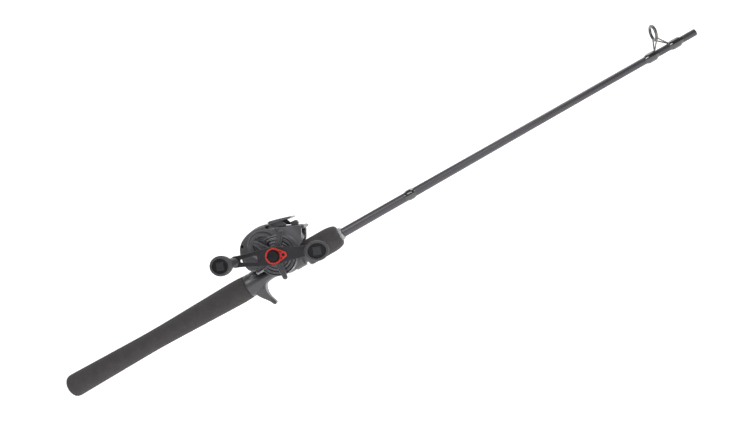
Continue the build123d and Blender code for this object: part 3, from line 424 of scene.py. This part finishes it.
def closed_mesh(shape, name):
    """Mesh of a closed shape with its normals outward."""
    bmesh.ops.recalc_face_normals(shape, faces=shape.faces)
    mesh = bpy.data.meshes.new(name)
    shape.to_mesh(mesh)
    shape.free()
    return mesh


def lathe(outline, segments):
    """Closed outline turned about the X axis; each point is (x, radius) or (x, function of the angle)."""
    shape = bmesh.new()
    rings = []
    for x, radius in outline:
        ring = []
        for step in range(segments):
            angle = 2 * math.pi * step / segments
            r = radius(angle) if callable(radius) else radius
            ring.append(shape.verts.new((x * MM, r * math.cos(angle) * MM, r * math.sin(angle) * MM)))
        rings.append(ring)
    skin(shape, rings + rings[:1])
    return closed_mesh(shape, "turned")


def row_of(start, step, count):
    return [start + k * step for k in range(count)]


def rear_grip():
    """Foam grip with a domed butt and a softened front edge."""
    body = [(x, curve_through(REAR_GRIP, x)) for x in row_of(5, 1.2, 197)]
    mesh = lathe(BUTT_DOME + body + REAR_GRIP_FRONT, GRIP_SEGMENTS)
    place_mesh("fine_rear_grip", mesh, "rear_grip")


def fore_grip():
    """Foam sleeve of the locking nut with a rounded nose."""
    body = [(x, FORE_GRIP_R) for x in row_of(321.4, 1.1, 26)]
    nose = [(x, curve_through(FORE_GRIP_NOSE, x)) for x in row_of(350.5, 0.5, 25)]
    mesh = lathe(FORE_GRIP_BACK + body + nose + FORE_GRIP_BORE, GRIP_SEGMENTS)
    place_mesh("fine_fore_grip", mesh, "fore_grip")


def winding_check():
    """Bright ring with a row of oval beads."""
    def beads(share):
        return lambda angle: (BEAD_BASE_R
                              + BEAD_HEIGHT * share * abs(math.cos(BEAD_WAVES * angle)) ** BEAD_SHARPNESS)
    row = [(x, beads(math.sin(math.pi * k / (BEAD_ROWS - 1))))
           for k, x in enumerate(row_of(BEAD_START, BEAD_STEP, BEAD_ROWS))]
    place_mesh("fine_winding_check", lathe(RING_BACK + row + RING_FRONT, RING_SEGMENTS), "winding_check")


def blank_radius(x):
    (x0, r0), (x1, r1) = next(pair for pair in zip(BLANK, BLANK[1:]) if x <= pair[1][0])
    return r0 + (r1 - r0) * (x - x0) / (x1 - x0)


def wrap(node, x0, x1, build):
    """Thread wrap under clear epoxy: thread ridges under a film that tapers at both ends."""
    taper = min(TAPER_LONGEST, (x1 - x0) / TAPERS_PER_WRAP)
    count = int((x1 - x0) / (THREAD_PITCH / 4))
    outline = []
    for step in range(count + 1):
        x = x0 + (x1 - x0) * step / count
        share = min(soft_step(x - x0, 0, taper), soft_step(x1 - x, 0, taper))
        ridge = THREAD_RIDGE * math.sin(2 * math.pi * x / THREAD_PITCH)
        outline.append((x, blank_radius(x) + FILM_EDGE + (build - FILM_TRIM) * share + ridge * share))
    outline += [(x1, blank_radius(x1) - WRAP_INSET), (x0, blank_radius(x0) - WRAP_INSET)]
    place_mesh("fine_" + node, lathe(outline, WRAP_SEGMENTS), node)


def ring_groove(radius, depth, start, full, rise, end):
    return depth * soft_step(radius, start, full) * soft_step(end - radius, 0, end - rise)


def side_plate_relief(point, normal):
    """Relief of the gear cover: ribbed shoulder, front facet, ringed drum and a scoop round the cap."""
    x, y, z = point
    middle_x, middle_z = BODY_MIDDLE
    spin = math.degrees(math.atan2(z - middle_z, x - middle_x))
    on_ribs = RIB_WALL[0] < y < RIB_WALL[1] and RIB_SPIN[0] < spin < RIB_SPIN[1]
    if on_ribs and abs(normal.y) < RIB_FACING:
        pull = RIB_PULL * (1 + math.cos(math.radians(spin * RIBS_PER_TURN)))
        return Vector((x + (middle_x - x) * pull, y, z + (middle_z - z) * pull))
    from_drum = math.hypot(x - DRUM[0], z - DRUM[1])
    if from_drum > DRUM_EDGE_R and x > FACET_FROM_X:
        facet = FACET_DEPTH * soft_step(x + FACET_LEAN * (z - FACET_LEAN_Z), *FACET_SPAN)
        facet *= soft_step(from_drum, DRUM_EDGE_R, FACET_BLEND_R)
        return Vector((x, y + facet * max(0.0, WALL_INNER_Y - y) / WALL_THICKNESS, z))
    if y > OUTER_FACE_Y or normal.y > OUTER_FACING:
        return point
    sink = 0.0
    if from_drum < DRUM_FACE_R:
        sink = sum(ring_groove(from_drum, *groove) for groove in DRUM_GROOVES)
    elif z > SCOOP_ABOVE_Z and x < SCOOP_BELOW_X:
        from_cap = math.hypot(x - CAP[0], z - CAP[1])
        sink = SCOOP_DEPTH * soft_step(SCOOP_R - from_cap, 0, SCOOP_BLEND)
        sink *= soft_step(from_drum, DRUM_FACE_R, SCOOP_CLEAR_R)
    return Vector((x, y + sink, z))


def star_relief(point, _normal):
    """Sinks a channel along each arm's face, leaving a raised rim."""
    x, y, z = point
    if y > STAR_FACE_Y:
        return point
    along = math.hypot(x - STAR[0], z - STAR[1])
    spin = math.degrees(math.atan2(z - STAR[1], x - STAR[0])) - STAR_TURN
    arm_step = 360 / STAR_ARMS
    off = (spin + arm_step / 2) % arm_step - arm_step / 2
    across = abs(along * math.sin(math.radians(off)))
    half = ARM_HALF_WIDTH - ARM_NARROWING * soft_step(along, *ARM_NARROWS)
    share = soft_step(half - CHANNEL_RIM - across, 0.0, CHANNEL_EASE)
    share *= soft_step(along, *CHANNEL_START) * soft_step(CHANNEL_END - along, 0, CHANNEL_END_EASE)
    return Vector((x, y + CHANNEL_DEPTH * share, z))


def knob_frame(end):
    """Place of one knob on its spindle, and the two directions of its badge."""
    joint = next(row for row in frame["record"]["behaviour"]["joints"] if row["name"] == end + "_knob_spin")
    outward = Vector(joint["axis"]).normalized()
    lean = math.radians(BADGE_LEAN)
    across = Vector((math.sin(lean), 0.0, math.cos(lean)))
    return Vector(joint["pos_m"]) / MM, outward.cross(across).normalized(), across


def knob_cap(end):
    """Black inset cap whose raised badge is a shade lighter."""
    base, along, across = knob_frame(end)
    cap = refined(end + "_knob_cap", 0.2, 2)
    cap.data.materials.append(BADGE)
    for polygon in cap.data.polygons:
        offset = polygon.center / MM - base
        if max(abs(offset.dot(along)), abs(offset.dot(across))) < BADGE_HALF:
            polygon.material_index = 1


def worm_radius(y, angle):
    """Radius of the worm shaft, less the left-hand and right-hand grooves."""
    if abs(y) > WORM_HALF:
        return JOURNAL_R
    radius = WORM_R
    if abs(y) < GROOVED_HALF:
        for hand in (-1, 1):
            phase = (angle / (2 * math.pi) + hand * y / WORM_LEAD) % 1.0
            gap = abs(phase - 0.5) * WORM_LEAD
            radius -= GROOVE_DEPTH * soft_step(GROOVE_HALF - gap, 0, GROOVE_EASE)
    return max(radius, JOURNAL_R)


def worm_shaft():
    """Shaft with the crossed double-helix groove that drives the line guide."""
    axis_x, axis_z = WORM_AXIS
    shape = bmesh.new()
    shoulder = WORM_HALF + WORM_SHOULDER
    grooved = row_of(-WORM_HALF, WORM_STEP, round(2 * WORM_HALF / WORM_STEP) + 1)
    rings = []
    for y in [WORM_ENDS[0], -shoulder] + grooved + [shoulder, WORM_ENDS[1]]:
        ring = []
        for step in range(WORM_SEGMENTS):
            angle = 2 * math.pi * step / WORM_SEGMENTS
            radius = worm_radius(y, angle)
            ring.append(shape.verts.new(((axis_x + radius * math.cos(angle)) * MM, y * MM,
                                         (axis_z + radius * math.sin(angle)) * MM)))
        rings.append(ring)
    skin(shape, rings)
    shape.faces.new(rings[0])
    shape.faces.new(rings[-1])
    place_mesh("fine_worm_shaft", closed_mesh(shape, "worm"), "worm_shaft")


# node, voxel size, smoothing rounds, reshaping
REFINED = (
    ("handle_side_plate", 0.3, 4, side_plate_relief),
    ("palm_side_plate", 0.4, 6, None),
    ("top_hood", 0.3, 4, None),
    ("reel_seat", 0.4, 8, None),
    ("sliding_hood", 0.35, 4, None),
    ("thumb_bar", 0.35, 5, None),
    ("star_drag", 0.25, 3, star_relief),
    ("crank_handle", 0.3, 3, None),
    ("guide_frame", 0.25, 4, None),
)


# ---------------------------------------------------------------- stage, light and camera
def floor_material():
    material, nodes, links = new_material("pale_floor")
    shader = set_shader(nodes, Roughness=0.9, Emission_Color=(1.0, 1.0, 1.0, 1.0),
                        Emission_Strength=FLOOR_GLOW)
    vector = texture_coordinates(nodes, links)
    tone = noise(nodes, links, vector, 3.0, detail=2.0)
    links.new(ramp(nodes, links, tone, [(0.3, (0.86, 0.86, 0.86)), (0.7, (0.89, 0.89, 0.89))]),
              shader.inputs["Base Color"])
    return material


def floor():
    """Pale floor that rises into a backdrop behind the rod."""
    material = floor_material()
    floor_z = cad_box[0][2] - FLOOR_DROP
    profile = [(FLOOR_FRONT, 0.0), (BEND_START, 0.0)]
    for step in range(1, BEND_STEPS + 1):
        turn = math.radians(90 / BEND_STEPS * step)
        profile.append((BEND_START + BEND_R * math.sin(turn), BEND_R - BEND_R * math.cos(turn)))
    profile.append((BEND_START + BEND_R, WALL_TOP))
    shape = bmesh.new()
    left, right = [[shape.verts.new((x, y, floor_z + z)) for y, z in profile] for x in FLOOR_SIDES]
    for step in range(len(profile) - 1):
        shape.faces.new((left[step], right[step], right[step + 1], left[step + 1]))
    mesh = bpy.data.meshes.new("floor")
    shape.to_mesh(mesh)
    shape.free()
    for polygon in mesh.polygons:
        polygon.use_smooth = True
    mesh.materials.append(material)
    sheet = bpy.data.objects.new("floor", mesh)
    bpy.context.collection.objects.link(sheet)


def studio_world():
    world = bpy.data.worlds.new("studio")
    world.use_nodes = True
    background = world.node_tree.nodes["Background"]
    background.inputs["Color"].default_value = (1.0, 1.0, 1.0, 1.0)
    background.inputs["Strength"].default_value = WORLD_GLOW
    bpy.context.scene.world = world


def area_light(name, place, target, size, power):
    data = bpy.data.lights.new(name, "AREA")
    data.shape = "RECTANGLE"
    data.size, data.size_y = size
    data.energy = power
    lamp = bpy.data.objects.new(name, data)
    lamp.location = place
    lamp.rotation_euler = (Vector(target) - Vector(place)).to_track_quat("-Z", "Y").to_euler()
    bpy.context.collection.objects.link(lamp)


def camera():
    data = bpy.data.cameras.new("camera")
    data.sensor_width = CAMERA_SENSOR
    data.lens = CAMERA_LENS
    data.clip_start = CAMERA_NEAR
    eye = bpy.data.objects.new("camera", data)
    right = CAMERA_RIGHT.normalized()
    back = right.cross(CAMERA_UP).normalized()
    up = back.cross(right)
    turn = Matrix((right, up, back)).transposed()
    eye.matrix_world = Matrix.Translation(CAMERA_PLACE) @ turn.to_4x4()
    bpy.context.collection.objects.link(eye)
    bpy.context.scene.camera = eye


dress_cad_nodes()
rear_grip()
fore_grip()
winding_check()
for wrap_row in WRAPS:
    wrap(*wrap_row)
worm_shaft()
for refined_row in REFINED:
    refined(*refined_row)
for knob_end in ("rear", "front"):
    refined(knob_end + "_knob", 0.3, 3)
    knob_cap(knob_end)
floor()
studio_world()
for light_row in LIGHTS:
    area_light(*light_row)
camera()

bpy.context.scene.view_settings.view_transform = "Standard"
